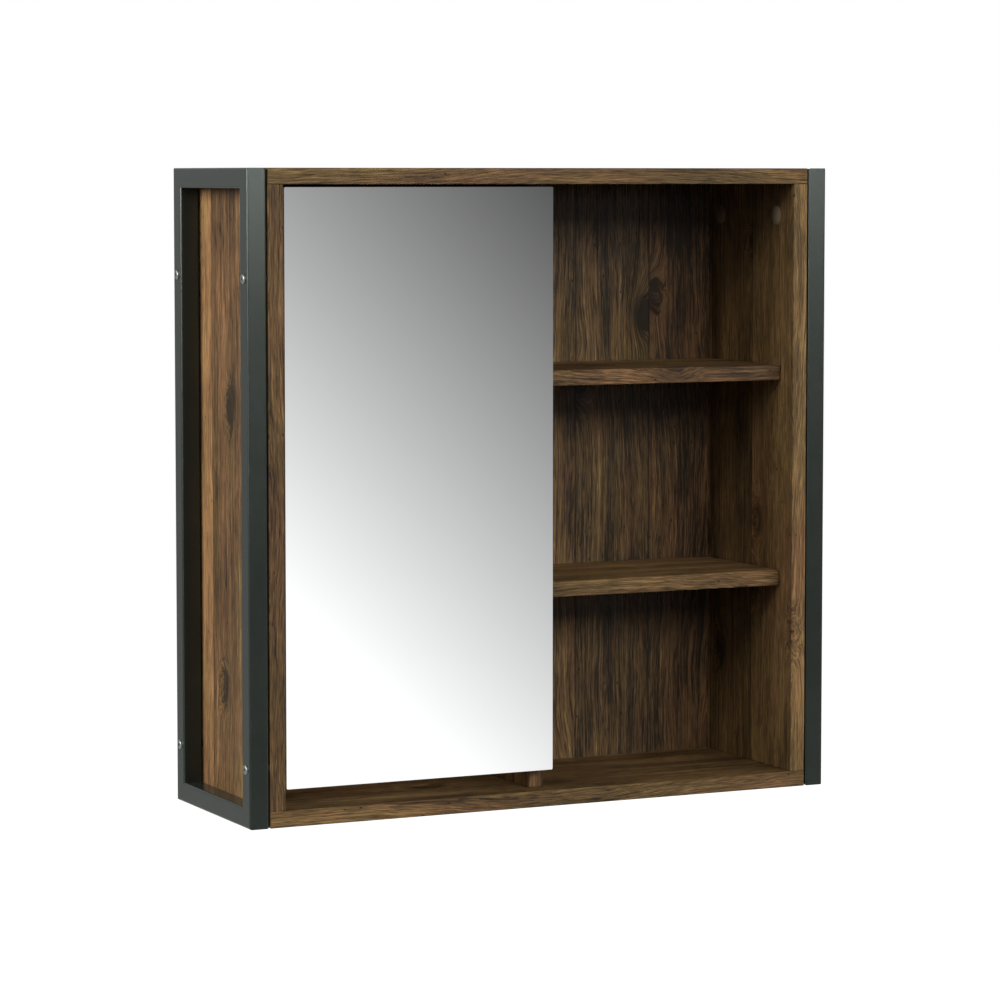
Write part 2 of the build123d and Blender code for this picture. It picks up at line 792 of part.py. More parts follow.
def door_parts():
    parts = {"mirror_glass": mirror_glass(), "mirror_tape": mirror_tape(), "door_panel": door_panel()}
    for level, z in hinge_heights.items():
        parts[f"hinge_cup_{level}"] = hinge_cup(z)
        parts[f"hinge_cup_screws_{level}"] = hinge_cup_screws(z)
        parts[f"hinge_link_{level}"] = hinge_link(z)
        parts[f"hinge_arm_{level}"] = hinge_arm(z)
        parts[f"hinge_plate_{level}"] = hinge_plate(z)
    parts["hinge_plate_screws"] = hinge_plate_screws()
    parts["door_bumper_lower"] = door_bumper(mirror_bottom + bumper_from_door_end)
    parts["door_bumper_upper"] = door_bumper(mirror_top - bumper_from_door_end)
    return parts


def hanger_parts():
    parts = {f"hanger_plate_{name}": hanger_plate(x) for name, x in zip(sides, hanger_x())}
    parts["hanger_screws"] = hanger_screws()
    return parts


os.makedirs("parts", exist_ok=True)
all_parts = frame_parts() | board_parts() | joint_parts() | door_parts() | hanger_parts()
for name, solid in all_parts.items():
    export_step(solid, f"parts/{name}.step")
print(len(all_parts), "sub-parts written")
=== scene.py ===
import math

import bpy
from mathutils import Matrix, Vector


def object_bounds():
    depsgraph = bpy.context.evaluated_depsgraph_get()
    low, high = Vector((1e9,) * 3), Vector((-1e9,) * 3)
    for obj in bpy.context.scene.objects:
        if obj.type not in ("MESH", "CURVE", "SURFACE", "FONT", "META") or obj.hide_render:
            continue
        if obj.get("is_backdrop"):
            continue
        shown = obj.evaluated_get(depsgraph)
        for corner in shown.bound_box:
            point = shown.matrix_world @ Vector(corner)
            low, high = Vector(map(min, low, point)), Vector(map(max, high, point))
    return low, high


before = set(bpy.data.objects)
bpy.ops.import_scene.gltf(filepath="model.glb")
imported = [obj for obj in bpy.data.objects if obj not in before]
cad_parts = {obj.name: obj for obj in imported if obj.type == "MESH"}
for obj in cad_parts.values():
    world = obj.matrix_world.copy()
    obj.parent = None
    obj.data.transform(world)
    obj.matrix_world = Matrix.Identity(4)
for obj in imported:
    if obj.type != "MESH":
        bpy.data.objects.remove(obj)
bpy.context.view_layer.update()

bl_info = {
    "name": "Mirror cabinet looks",
    "version": (1, 0, 0),
    "blender": (4, 5, 0),
    "location": "3D View > Sidebar > Cabinet",
    "description": "Finishes, small fittings and stage for a wall cabinet with a mirror door",
    "category": "Object",
}

# Boards with upright grain, then boards with level grain.
UPRIGHTS = ("left_side_panel", "right_side_panel", "centre_divider", "door_panel")
LEVELS = (
    "top_panel", "bottom_panel",
    "open_bay_upper_shelf", "open_bay_lower_shelf",
    "door_bay_upper_shelf", "door_bay_lower_shelf",
)
# How much lighter or darker than the faces the printed band on a front edge is.
EDGE_TONES = {
    "left_side_panel": -0.12, "right_side_panel": 0.11, "top_panel": 0.20, "bottom_panel": 0.09,
    "open_bay_upper_shelf": 0.20, "open_bay_lower_shelf": -0.06,
}
USUAL_EDGE_TONE = 0.05
# Metres by which the print is moved: a joint on the right side lies halfway into the open bay,
# and two joints on the back show in that bay, the first at this distance from the middle.
RIGHT_SIDE_PRINT_SHIFT = 0.0064
BACK_JOINT = 0.1227
# A printed foil shines far less than the shader's usual plastic.
WOOD_GLOSS = 0.14


# --- sizes and colours that a user would change ---

def colour_prop(name, description, default):
    return bpy.props.FloatVectorProperty(
        name=name, description=description, subtype="COLOR", size=3, min=0, max=1, default=default
    )


def length_prop(name, description, default):
    return bpy.props.FloatProperty(
        name=name, description=description, unit="LENGTH", subtype="DISTANCE", min=0, default=default
    )


def amount_prop(name, description, default):
    return bpy.props.FloatProperty(
        name=name, description=description, subtype="FACTOR", min=0, max=1, default=default
    )


class DecorLook(bpy.types.PropertyGroup):
    """The printed wood decor of the boards."""
    light: colour_prop("Light", "Light stripes of the decor", (0.330, 0.190, 0.082))
    middle: colour_prop("Middle", "Ground colour of the decor", (0.128, 0.073, 0.031))
    dark: colour_prop("Dark", "Dark stripes and knots", (0.020, 0.0122, 0.0062))
    plank: length_prop("Plank width", "Width of one printed plank", 0.0872)
    relief: length_prop("Relief", "Depth of the embossed pores", 0.0004)
    core: colour_prop("Core", "Pressed wood chips at a raw edge", (0.36, 0.235, 0.13))


class SteelLook(bpy.types.PropertyGroup):
    """The powder coat of the side frames and the finish of their bolts."""
    coat: colour_prop("Coat", "Colour of the powder coat", (0.0138, 0.0176, 0.0148))
    bolt: colour_prop("Bolt", "Colour of the bolt heads", (0.20, 0.21, 0.20))
    texture: length_prop("Texture", "Size of the powder coat's fine texture", 0.0006)
    roughness: amount_prop("Roughness", "How dull the powder coat is", 0.23)


class MirrorLook(bpy.types.PropertyGroup):
    """The silvered glass of the door."""
    silver: colour_prop("Silver", "Colour of the silvering", (0.955, 0.96, 0.965))
    edge: colour_prop("Edge", "Colour of the polished glass edge", (0.50, 0.58, 0.56))


class StageLook(bpy.types.PropertyGroup):
    """The studio around the cabinet and the place of the camera."""
    camera: bpy.props.FloatVectorProperty(
        name="Camera place", description="Where the camera stands", subtype="TRANSLATION",
        unit="LENGTH", size=3, default=(-1.6374, -3.5199, 0.0368),
    )
    heading: bpy.props.FloatProperty(
        name="Heading", description="Turn of the camera from straight ahead to the right",
        subtype="ANGLE", default=math.radians(25.53),
    )
    dip: bpy.props.FloatProperty(
        name="Dip", description="How far the camera looks down", subtype="ANGLE",
        default=math.radians(4.348),
    )
    lens: bpy.props.FloatProperty(
        name="Lens", description="Focal length in millimetres", min=1, default=133.86
    )
    rise: bpy.props.FloatProperty(
        name="Rise", description="Vertical lens shift as a share of the picture", default=-0.04
    )
    floor_drop: length_prop("Floor drop", "Floor below the cabinet's bottom", 0.95)
    pale: colour_prop("Floor", "Colour of the floor", (0.86, 0.86, 0.85))
    ambient: amount_prop("Ambient", "Strength of the even light from all round", 0.20)


# --- node helpers ---

class Tree:
    """Adds nodes to a node tree and links them as it goes."""

    def __init__(self, tree):
        self.tree = tree

    def put(self, kind, *values, **settings):
        """A node of a kind; values go to its inputs in order, None leaving one alone."""
        node = self.tree.nodes.new(kind)
        for key, setting in settings.items():
            setattr(node, key, setting)
        for socket, value in zip(node.inputs, values):
            self.feed(socket, value)
        return node

    def feed(self, socket, value):
        if value is None:
            return
        if isinstance(value, bpy.types.NodeSocket):
            self.tree.links.new(value, socket)
        elif socket.type == "RGBA" and len(value) == 3:
            socket.default_value = (*value, 1)
        else:
            socket.default_value = value

    def named(self, node, **values):
        """Feeds inputs by name; an underscore in a key stands for a space."""
        for key, value in values.items():
            self.feed(node.inputs[key.replace("_", " ")], value)
        return node

    def math(self, operation, a, b=None):
        return self.put("ShaderNodeMath", a, b, operation=operation).outputs[0]

    def add(self, a, b):
        return self.math("ADD", a, b)

    def times(self, a, b):
        return self.math("MULTIPLY", a, b)

    def stretched(self, vector, x, y, z):
        """The vector with each part multiplied, so that a pattern on it is drawn out."""
        by_x, by_y, by_z = self.parts(vector)
        return self.vector(self.times(by_x, x), self.times(by_y, y), self.times(by_z, z))

    def vector(self, x=0.0, y=0.0, z=0.0):
        return self.put("ShaderNodeCombineXYZ", x, y, z).outputs[0]

    def parts(self, vector):
        return self.put("ShaderNodeSeparateXYZ", vector).outputs

    def noise(self, vector, scale=1.0, detail=2.0, roughness=0.5):
        node = self.put("ShaderNodeTexNoise")
        self.named(node, Vector=vector, Scale=scale, Detail=detail, Roughness=roughness)
        return node.outputs["Fac"]

    def cells(self, vector, scale=1.0, dimensions="3D"):
        node = self.put("ShaderNodeTexVoronoi", voronoi_dimensions=dimensions)
        self.named(node, Vector=vector, Scale=scale)
        return node.outputs

    def smooth(self, value, low, high, first=0.0, last=1.0):
        """A soft step from first to last as value goes from low to high."""
        node = self.put("ShaderNodeMapRange", interpolation_type="SMOOTHSTEP")
        self.named(node, Value=value, From_Min=low, From_Max=high, To_Min=first, To_Max=last)
        return node.outputs["Result"]

    def mix(self, amount, a, b, blend="MIX"):
        node = self.put("ShaderNodeMix", data_type="RGBA", blend_type=blend)
        for name, value in (("Factor", amount), ("A", a), ("B", b)):
            socket = next(s for s in node.inputs if s.name == name and s.enabled)
            self.feed(socket, value)
        return next(s for s in node.outputs if s.enabled)

    def group(self, tree, **values):
        node = self.put("ShaderNodeGroup", node_tree=tree)
        return self.named(node, **values).outputs

    def bump(self, height, strength, distance, normal=None):
        node = self.put("ShaderNodeBump")
        self.named(node, Height=height, Strength=strength, Distance=distance, Normal=normal)
        return node.outputs["Normal"]


def new_group(name, inputs, outputs):
    """An empty node group with its sockets: (name, kind, default) in, (name, kind) out."""
    tree = bpy.data.node_groups.new(name, "ShaderNodeTree")
    for socket_name, kind, default in inputs:
        socket = tree.interface.new_socket(socket_name, in_out="INPUT", socket_type=kind)
        if default is not None:
            socket.default_value = default
    for socket_name, kind in outputs:
        tree.interface.new_socket(socket_name, in_out="OUTPUT", socket_type=kind)
    work = Tree(tree)
    return work, work.put("NodeGroupInput").outputs, work.put("NodeGroupOutput")


def material(name):
    """An empty material: its node helper and its Principled shader."""
    made = bpy.data.materials.new(name)
    made.use_nodes = True
    work = Tree(made.node_tree)
    return made, work, made.node_tree.nodes["Principled BSDF"]


FLOAT, VECTOR, COLOUR = "NodeSocketFloat", "NodeSocketVector", "NodeSocketColor"


# --- shared surface effects ---

def knot_field(work, across, along):
    """How near a point is to a knot, from 0 to 1: a few long ovals scattered over the planks."""
    across_per_metre, along_per_metre = 13.0, 6.5
    share_without = 0.72
    tightness = 6.4
    unevenness = 0.011
    wobble_place = work.vector(work.times(across, 70.0), work.times(along, 30.0))
    wobble = work.noise(wobble_place, detail=3.0)
    across = work.add(across, swing(work, wobble, unevenness))
    place = work.vector(work.times(across, across_per_metre), work.times(along, along_per_metre))
    cells = work.cells(place, dimensions="2D")
    present = work.smooth(work.parts(cells["Color"])[0], share_without, share_without + 0.02)
    spread = work.times(cells["Distance"], tightness)
    bell = work.math("EXPONENT", work.times(work.times(spread, spread), -1.0))
    return work.times(bell, present)


def swing(work, value, gain):
    """A noise value from 0 to 1 turned into an amount either side of zero."""
    return work.times(work.add(value, -0.5), gain)


def wood_decor_group():
    """Printed planks: stripes that flow round knots, pores, pits and plank joints.

    Vector is (across the grain, along the grain, depth) in metres.
    """
    work, given, result = new_group(
        "Wood decor",
        [
            ("Vector", VECTOR, None), ("Plank Width", FLOAT, 0.087), ("Seed", FLOAT, 0.0),
            ("Light", COLOUR, None), ("Middle", COLOUR, None), ("Dark", COLOUR, None),
            ("Lightness", FLOAT, 0.0), ("Joints", FLOAT, 1.0),
        ],
        [("Color", COLOUR), ("Roughness", FLOAT), ("Height", FLOAT)],
    )
    across, along, depth = work.parts(given["Vector"])
    place = work.math("DIVIDE", across, given["Plank Width"])
    plank = work.math("FLOOR", place)
    chance = work.put("ShaderNodeTexWhiteNoise", noise_dimensions="1D")
    work.named(chance, W=work.add(plank, given["Seed"]))
    first, second, third = work.parts(chance.outputs["Color"])
    farthest_across, farthest_along = 9.0, 17.0
    across_here = work.add(across, work.times(second, farthest_across))
    along_here = work.add(along, work.times(first, farthest_along))

    # The growth lines wander slowly, ripple quickly and bend round knots, by these metres.
    wander, ripple, bend = 0.055, 0.0060, 0.0230
    knots = knot_field(work, across_here, along_here)
    slow = work.vector(work.times(across_here, 7.0), work.times(along_here, 1.9), depth)
    quick = work.vector(work.times(across_here, 34.0), work.times(along_here, 15.0), depth)
    ring = work.add(across_here, swing(work, work.noise(slow, detail=2.0), wander))
    ring = work.add(ring, swing(work, work.noise(quick, detail=3.0), ripple))
    ring = work.add(ring, work.times(knots, bend))

    def stripes(per_metre, lengthwise, detail=2.0, roughness=0.5):
        """Streaks along the growth lines, this many to a metre across and along the grain."""
        point = work.vector(
            work.times(ring, per_metre),
            work.times(along_here, lengthwise),
            work.times(depth, per_metre / 4),
        )
        return work.noise(point, detail=detail, roughness=roughness)

    broad = stripes(48.0, 1.6)
    narrow = stripes(260.0, 4.0, 2.0, 0.6)
    lines = stripes(760.0, 9.0, 2.0, 0.75)
    fibres = stripes(1500.0, 60.0)
    stain_place = work.vector(work.times(across_here, 24.0), work.times(along_here, 8.0), depth)
    stain = work.noise(stain_place, detail=5.0, roughness=0.62)
    near_knot = work.smooth(knots, 0.12, 1.0)

    # Tone from dark (0) to light (1): each kind of figure, then the plank's own shade.
    plank_contrast, knot_darkness = 0.32, -0.42
    figures = ((broad, 0.75), (narrow, 0.70), (lines, 1.22), (fibres, 1.3), (stain, 1.15))
    tone = 0.5
    for figure, contrast in (*figures, (third, plank_contrast)):
        tone = work.add(tone, swing(work, figure, contrast))
    tone = work.add(tone, work.times(near_knot, knot_darkness))
    tone = work.add(tone, given["Lightness"])
    colour = work.mix(work.smooth(tone, 0.02, 0.46), given["Dark"], given["Middle"])
    colour = work.mix(work.smooth(tone, 0.44, 1.0), colour, given["Light"])

    hue_place = work.vector(work.times(across_here, 40.0), work.times(along_here, 6.0), depth)
    hue = work.add(work.noise(hue_place, detail=2.0), swing(work, second, 0.25))
    red = work.mix(1.0, colour, (1.0, 0.92, 0.88), "MULTIPLY")
    olive = work.mix(1.0, colour, (0.95, 1.0, 0.86), "MULTIPLY")
    colour = work.mix(work.smooth(hue, 0.36, 0.66), red, olive)

    pores = work.smooth(stripes(1300.0, 34.0, 2.0, 0.6), 0.56, 0.63)
    cracks = work.smooth(stripes(520.0, 6.0), 0.645, 0.675)
    contour = work.smooth(work.math("ABSOLUTE", swing(work, narrow, 1.0)), 0.004, 0.018, 1.0, 0.0)
    contour = work.times(contour, work.smooth(stain, 0.50, 0.62, 0.15, 1.0))
    pit_place = work.vector(work.times(across_here, 120.0), work.times(along_here, 60.0))
    pits = work.cells(pit_place, dimensions="2D")
    rare = work.smooth(work.parts(pits["Color"])[1], 0.95, 0.96)
    pit = work.times(work.smooth(pits["Distance"], 0.06, 0.14, 1.0, 0.0), rare)
    dent = work.math("MAXIMUM", work.times(pores, 0.62), work.times(contour, 0.75))
    dent = work.math("MAXIMUM", dent, work.math("MAXIMUM", work.times(cracks, 0.8), pit))
    dusk = work.mix(1.0, given["Dark"], (0.72, 0.68, 0.62), "MULTIPLY")
    colour = work.mix(work.times(dent, 0.82), colour, dusk)

    inside = work.math("FRACT", place)
    edge = work.math("MINIMUM", inside, work.math("SUBTRACT", 1.0, inside))
    edge = work.times(edge, given["Plank Width"])
    joint_from, joint_to = 0.0003, 0.0013
    joint = work.times(work.smooth(edge, joint_from, joint_to, 1.0, 0.0), given["Joints"])
    colour = work.mix(work.times(joint, 0.8), colour, dusk)

    rough = work.add(work.times(fibres, 0.22), 0.42)
    rough = work.add(rough, work.times(dent, 0.20))
    height = work.add(work.times(lines, 0.55), work.times(fibres, 0.45))
    height = work.math("SUBTRACT", height, work.times(dent, 0.8))
    height = work.math("SUBTRACT", height, work.times(joint, 0.9))
    work.feed(result.inputs["Color"], colour)
    work.feed(result.inputs["Roughness"], rough)
    work.feed(result.inputs["Height"], height)
    return work.tree


def pressed_core_group():
    """The raw edge of a pressed board: pale chips in a darker ground."""
    work, given, result = new_group(
        "Pressed core",
        [("Vector", VECTOR, None), ("Color", COLOUR, None)],
        [("Color", COLOUR), ("Height", FLOAT)],
    )
    chips = work.cells(given["Vector"], scale=620.0)
    tint = work.parts(chips["Color"])[0]
    fine = work.noise(given["Vector"], scale=1900.0, detail=3.0)
    dark = work.mix(1.0, given["Color"], (0.52, 0.46, 0.40), "MULTIPLY")
    colour = work.mix(work.smooth(tint, 0.1, 0.9), dark, given["Color"])
    colour = work.mix(work.smooth(fine, 0.35, 0.65, 0.0, 0.4), colour, dark)
    work.feed(result.inputs["Color"], colour)
    work.feed(result.inputs["Height"], work.add(tint, fine))
    return work.tree


def fine_coat_group():
    """A sprayed or moulded skin: fine texture, with a faint unevenness over larger areas."""
    work, given, result = new_group(
        "Fine coat",
        [
            ("Vector", VECTOR, None), ("Color", COLOUR, None), ("Grain", FLOAT, 0.0006),
            ("Roughness", FLOAT, 0.45), ("Unevenness", FLOAT, 0.08),
        ],
        [("Color", COLOUR), ("Roughness", FLOAT), ("Height", FLOAT)],
    )
    scale = work.math("DIVIDE", 1.0, given["Grain"])
    grain = work.noise(given["Vector"], scale=scale, detail=2.0, roughness=0.6)
    cloud = work.noise(given["Vector"], scale=11.0, detail=4.0, roughness=0.6)
    smear = work.noise(given["Vector"], scale=70.0, detail=3.0, roughness=0.7)
    shift = work.times(work.add(cloud, -0.5), given["Unevenness"])
    rough = work.add(given["Roughness"], shift)
    rough = work.add(rough, work.times(work.add(smear, -0.5), work.times(given["Unevenness"], 0.8)))
    pale = work.mix(1.0, given["Color"], (1.35, 1.35, 1.35), "MULTIPLY")
    speck = work.smooth(grain, 0.45, 0.75, 0.0, 0.55)
    colour = work.mix(speck, given["Color"], pale)
    deep = work.mix(1.0, given["Color"], (0.80, 0.80, 0.80), "MULTIPLY")
    colour = work.mix(work.smooth(cloud, 0.40, 0.70, 0.0, 0.35), colour, deep)
    work.feed(result.inputs["Color"], colour)
    work.feed(result.inputs["Roughness"], rough)
    work.feed(result.inputs["Height"], grain)
    return work.tree


def drawn_metal_group():
    """Rolled or turned metal: fine lines one way, and a cloudy plating."""
    work, given, result = new_group(
        "Drawn metal",
        [
            ("Vector", VECTOR, None), ("Color", COLOUR, None), ("Roughness", FLOAT, 0.3),
            ("Lines", FLOAT, 2500.0),
        ],
        [("Color", COLOUR), ("Roughness", FLOAT), ("Height", FLOAT)],
    )
    lengthwise = work.times(given["Lines"], 0.04)
    lines = work.noise(
        work.stretched(given["Vector"], given["Lines"], given["Lines"], lengthwise), detail=2.0
    )
    cloud = work.noise(given["Vector"], scale=160.0, detail=4.0, roughness=0.65)
    rough = work.add(given["Roughness"], work.times(work.add(lines, -0.5), 0.16))
    rough = work.add(rough, work.times(work.add(cloud, -0.5), 0.22))
    dull = work.mix(1.0, given["Color"], (0.70, 0.69, 0.66), "MULTIPLY")
    colour = work.mix(work.smooth(cloud, 0.38, 0.72, 0.0, 0.6), given["Color"], dull)
    work.feed(result.inputs["Color"], colour)
    work.feed(result.inputs["Roughness"], rough)
    work.feed(result.inputs["Height"], lines)
    return work.tree


groups = {}


def shared(name):
    """A node group, built the first time that a material asks for it."""
    makers = {
        "decor": wood_decor_group, "core": pressed_core_group,
        "coat": fine_coat_group, "metal": drawn_metal_group,
    }
    if name not in groups:
        groups[name] = makers[name]()
    return groups[name]


# --- materials ---

def object_place(work):
    """The point and the face direction in the part's own frame, which move with it."""
    node = work.put("ShaderNodeTexCoord")
    return node.outputs["Object"], node.outputs["Normal"]


def wood_board(name, look, level, seed, offset, raw_rear=1.0):
    """Decor on a board: grain along X on a level board and along Z on an upright one.

    The seed and offset pick the board's stretch of the print. Faces towards the wall are the raw
    pressed core, unless raw_rear is 0, and front edges carry an edge band of their own tone.
    """
    edge_tone = EDGE_TONES.get(name, USUAL_EDGE_TONE)
    made, work, shader = material(f"decor_{name}")
    point, normal = object_place(work)
    x, y, z = work.parts(point)
    along, beside = (x, z) if level else (z, x)
    across = work.add(work.add(beside, y), offset)
    grain_point = work.vector(across, along, work.math("SUBTRACT", beside, y))
    front, rear = facing_masks(work, normal)
    decor = work.group(
        shared("decor"), Vector=grain_point, Plank_Width=look.plank, Seed=seed,
        Light=look.light, Middle=look.middle, Dark=look.dark,
        Lightness=work.times(front, edge_tone),
        Joints=work.math("SUBTRACT", 1.0, front),
    )
    core = work.group(shared("core"), Vector=point, Color=look.core)
    colour = work.mix(work.times(rear, raw_rear), decor["Color"], core["Color"])
    work.named(shader, Base_Color=colour, Roughness=decor["Roughness"])
    work.named(shader, Normal=work.bump(decor["Height"], 0.6, look.relief))
    work.feed(shader.inputs["Specular IOR Level"], WOOD_GLOSS)
    return made


def facing_masks(work, normal):
    """Masks of the faces that look to the front and to the wall."""
    towards_wall = work.parts(normal)[1]
    front = work.smooth(towards_wall, -0.6, -0.9)
    rear = work.smooth(towards_wall, 0.6, 0.9)
    return front, rear


def back_sheet(look):
    """The thin back: decor inside the cabinet, plain pressed fibre towards the wall."""
    made, work, shader = material("decor_back")
    point, normal = object_place(work)
    x, y, z = work.parts(point)
    across = work.add(work.add(x, look.plank), -BACK_JOINT)
    shade = -0.06
    decor = work.group(
        shared("decor"), Vector=work.vector(across, z, y), Plank_Width=look.plank, Seed=41.0,
        Light=look.light, Middle=look.middle, Dark=look.dark, Lightness=shade, Joints=1.0,
    )
    _, rear = facing_masks(work, normal)
    fibre = work.group(
        shared("coat"), Vector=point, Color=(0.20, 0.125, 0.07), Grain=0.0011,
        Roughness=0.62, Unevenness=0.2,
    )
    work.named(shader, Base_Color=work.mix(rear, decor["Color"], fibre["Color"]))
    work.named(shader, Roughness=decor["Roughness"])
    work.named(shader, Normal=work.bump(decor["Height"], 0.6, look.relief))
    work.feed(shader.inputs["Specular IOR Level"], WOOD_GLOSS)
    return made


def raw_board(look):
    """Bare pressed board, for the rail behind the back."""
    made, work, shader = material("rail_board")
    point, _ = object_place(work)
    core = work.group(shared("core"), Vector=point, Color=look.core)
    work.named(shader, Base_Color=core["Color"], Roughness=0.85)
    work.named(shader, Normal=work.bump(core["Height"], 0.5, 0.0003))
    return made


def coated(name, colour, grain, roughness, relief, unevenness=0.08, **sockets):
    """A powder coat, a moulded plastic or another fine-textured skin."""
    made, work, shader = material(name)
    point, _ = object_place(work)
    skin = work.group(
        shared("coat"), Vector=point, Color=colour, Grain=grain, Roughness=roughness,
        Unevenness=unevenness,
    )
    work.named(shader, Base_Color=skin["Color"], Roughness=skin["Roughness"])
    work.named(shader, Normal=work.bump(skin["Height"], 0.5, relief))
    work.named(shader, **sockets)
    return made


def plated(name, colour, roughness, lines=2500.0, relief=0.00002):
    """Plated or turned metal."""
    made, work, shader = material(name)
    point, _ = object_place(work)
    skin = work.group(
        shared("metal"), Vector=point, Color=colour, Roughness=roughness, Lines=lines
    )
    work.named(shader, Base_Color=skin["Color"], Roughness=skin["Roughness"], Metallic=1.0)
    work.named(shader, Normal=work.bump(skin["Height"], 0.3, relief))
    return made


def turned_wood(name, light, dark):
    """Pale turned dowels with grain along their length."""
    made, work, shader = material(name)
    point, _ = object_place(work)
    grain = work.noise(work.stretched(point, 900.0, 900.0, 40.0), detail=3.0)
    work.named(shader, Base_Color=work.mix(work.smooth(grain, 0.35, 0.65), dark, light))
    work.named(shader, Roughness=0.6, Normal=work.bump(grain, 0.4, 0.0002))
    return made


def silvered_glass(look):
    """The mirror: silver seen through the front face, pale green glass at the polished edge."""
    made, work, shader = material("mirror_silver")
    point, normal = object_place(work)
    facing_side, facing_front, _ = work.parts(normal)
    flat = work.smooth(work.math("ABSOLUTE", facing_front), 0.45, 0.60)
    haze = work.noise(point, scale=7.0, detail=4.0, roughness=0.6)
    dust = work.noise(point, scale=900.0, detail=2.0)
    film = work.smooth(haze, 0.52, 0.75, 0.0, 0.012)
    film = work.add(film, work.smooth(dust, 0.74, 0.80, 0.0, 0.01))
    through_glass = work.times(work.parts(point)[1], 2200.0)
    edge_lines = work.noise(work.vector(work.times(facing_side, 3.0), through_glass), detail=2.0)
    edge_rough = work.smooth(edge_lines, 0.3, 0.7, 0.10, 0.22)
    roughness = work.put("ShaderNodeMix", data_type="FLOAT")
    for socket, value in zip(roughness.inputs, (flat, edge_rough, film)):
        work.feed(socket, value)
    work.named(shader, Base_Color=work.mix(flat, look.edge, look.silver))
    metallic = work.smooth(flat, 0.2, 0.8, 0.35, 1.0)
    work.named(shader, Roughness=roughness.outputs[0], Metallic=metallic)
    return made


def paint(name, made):
    """Gives a CAD node its finish, in every one of its material slots."""
    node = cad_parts[name]
    if not node.material_slots:
        node.data.materials.append(made)
    for slot in node.material_slots:
        slot.material = made


def paint_all(match, made):
    """Gives the finish to every node whose name holds the words."""
    names = [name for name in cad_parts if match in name]
    if not names:
        raise RuntimeError(f"no node is called {match}")
    for name in names:
        paint(name, made)


# --- operators ---

class CABINET_OT_boards(bpy.types.Operator):
    """Finish the boards with printed planks, each board from its own stretch of the print"""
    bl_idname = "cabinet.boards"
    bl_label = "Boards"

    def execute(self, context):
        look = context.scene.cabinet_decor
        for number, name in enumerate(UPRIGHTS):
            seed, offset = 3.0 + 11.0 * number, 0.031 * number
            if name == "right_side_panel":
                offset = RIGHT_SIDE_PRINT_SHIFT
            raw_rear = 0.0 if name == "door_panel" else 1.0
            paint(name, wood_board(name, look, False, seed, offset, raw_rear))
        for number, name in enumerate(LEVELS):
            seed, offset = 97.0 + 13.0 * number, 0.023 * number
            paint(name, wood_board(name, look, True, seed, offset))
        paint("back_panel", back_sheet(look))
        paint("hanging_rail", raw_board(look))
        return {"FINISHED"}


class CABINET_OT_steel_frames(bpy.types.Operator):
    """Coat the two side frames and finish their bolts, washers and threaded inserts"""
    bl_idname = "cabinet.steel_frames"
    bl_label = "Steel frames"

    def execute(self, context):
        look = context.scene.cabinet_steel
        coat = coated(
            "painted_steel", look.coat, look.texture, look.roughness, 0.00006,
            Specular_Tint=(0.90, 1.0, 0.91, 1),
        )
        paint_all("steel_frame", coat)
        bolt = coated("bolt_dark", look.bolt, 0.0004, 0.36, 0.00003, Metallic=0.85)
        paint_all("_frame_bolt_", bolt)
        spacer = coated("spacer_black", (0.012, 0.012, 0.012), 0.0008, 0.5, 0.00005)
        paint_all("frame_spacers", spacer)
        paint_all("frame_inserts", plated("insert_brass", (0.72, 0.50, 0.22), 0.3))
        return {"FINISHED"}


class CABINET_OT_mirror(bpy.types.Operator):
    """Silver the mirror glass and finish the adhesive sheet behind it"""
    bl_idname = "cabinet.mirror"
    bl_label = "Mirror"

    def execute(self, context):
        paint("mirror_glass", silvered_glass(context.scene.cabinet_mirror))
        paint("mirror_tape", coated("tape_foam", (0.03, 0.03, 0.03), 0.0005, 0.8, 0.0001))
        paint_all("door_bumper", coated("bumper_soft", (0.62, 0.62, 0.60), 0.0009, 0.25, 0.00002))
        return {"FINISHED"}


class CABINET_OT_hinges(bpy.types.Operator):
    """Plate the concealed hinges and their screws"""
    bl_idname = "cabinet.hinges"
    bl_label = "Hinges"

    def execute(self, context):
        nickel = plated("hinge_nickel", (0.62, 0.60, 0.57), 0.26)
        for words in ("hinge_cup_upper", "hinge_cup_lower", "hinge_link", "hinge_arm"):
            paint_all(words, nickel)
        paint_all("hinge_plate_upper", nickel)
        paint_all("hinge_plate_lower", nickel)
        zinc = plated("screw_zinc", (0.60, 0.59, 0.57), 0.34)
        for words in ("hinge_cup_screws", "hinge_plate_screws", "hanger_screws"):
            paint_all(words, zinc)
        for words in ("confirmat", "cam_bolts"):
            paint_all(words, zinc)
        return {"FINISHED"}


class CABINET_OT_fittings(bpy.types.Operator):
    """Finish the caps, cams, dowels, shelf pins and hanging plates"""
    bl_idname = "cabinet.fittings"
    bl_label = "Board fittings"

    def execute(self, context):
        paint_all("cam_cap", coated("cap_brown", (0.24, 0.185, 0.115), 0.0007, 0.30, 0.00003))
        paint("cam_locks", plated("zinc_cast", (0.42, 0.42, 0.43), 0.5, 900.0, 0.0001))
        paint("wood_dowels", turned_wood("dowel_beech", (0.62, 0.42, 0.24), (0.45, 0.28, 0.14)))
        paint_all("shelf_pins", plated("pin_nickel", (0.62, 0.60, 0.57), 0.24))
        paint_all("hanger_plate", plated("hanger_zinc", (0.55, 0.55, 0.54), 0.38, 1500.0))
        return {"FINISHED"}


def soft_box(name, place, target, size, radiance):
    """A rectangular studio light aimed at a point, of even brightness over its face."""
    data = bpy.data.lights.new(name, "AREA")
    data.shape = "RECTANGLE"
    data.size, data.size_y = size
    data.energy = radiance * math.pi * size[0] * size[1]
    light = bpy.data.objects.new(name, data)
    light.location = place
    light.rotation_mode = "QUATERNION"
    light.rotation_quaternion = (Vector(target) - Vector(place)).to_track_quat("-Z", "Y")
    bpy.context.collection.objects.link(light)
    return light


